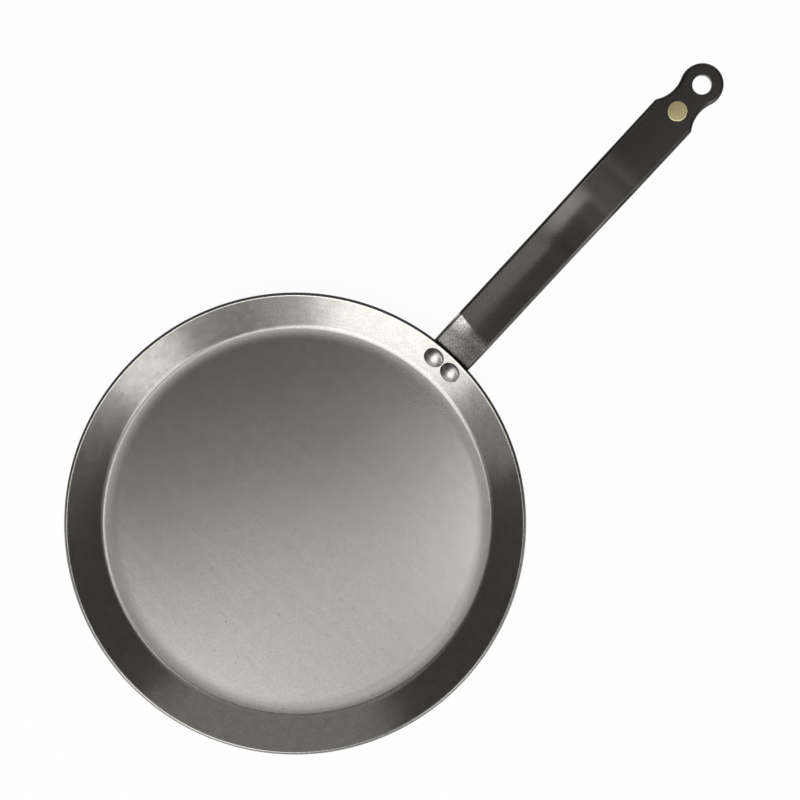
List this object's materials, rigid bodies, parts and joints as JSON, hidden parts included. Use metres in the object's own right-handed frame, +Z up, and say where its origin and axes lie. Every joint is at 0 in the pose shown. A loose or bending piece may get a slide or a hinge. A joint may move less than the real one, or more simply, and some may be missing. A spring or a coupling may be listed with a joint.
{
  "type": "crepe pan",
  "caption": "Shallow round pan of pressed steel with a low flared wall and a long flat strip handle, riveted to its outside and ending in a hanging eye with a small round badge.",
  "frame": {"origin": "centre of the base's underside, where the pan rests", "axes": "+X from the pan's axis along the handle to the hanging eye, +Z up out of the pan, +Y to the left when looking along the handle"},
  "size_m": [0.4633, 0.2598, 0.0622],
  "materials": {
    "pan_steel": "satin, bare carbon steel with a fine grain",
    "handle_coat": "satin dark grey epoxy coat over strip steel",
    "rivet_steel": "satin, hammered",
    "badge_brass": "satin, aged"
  },
  "bodies": {
    "root": {"pan_body": "pan_steel", "handle": "handle_coat", "rivet_left": "rivet_steel", "rivet_right": "rivet_steel", "badge": "badge_brass"}
  },
  "joints": []
}
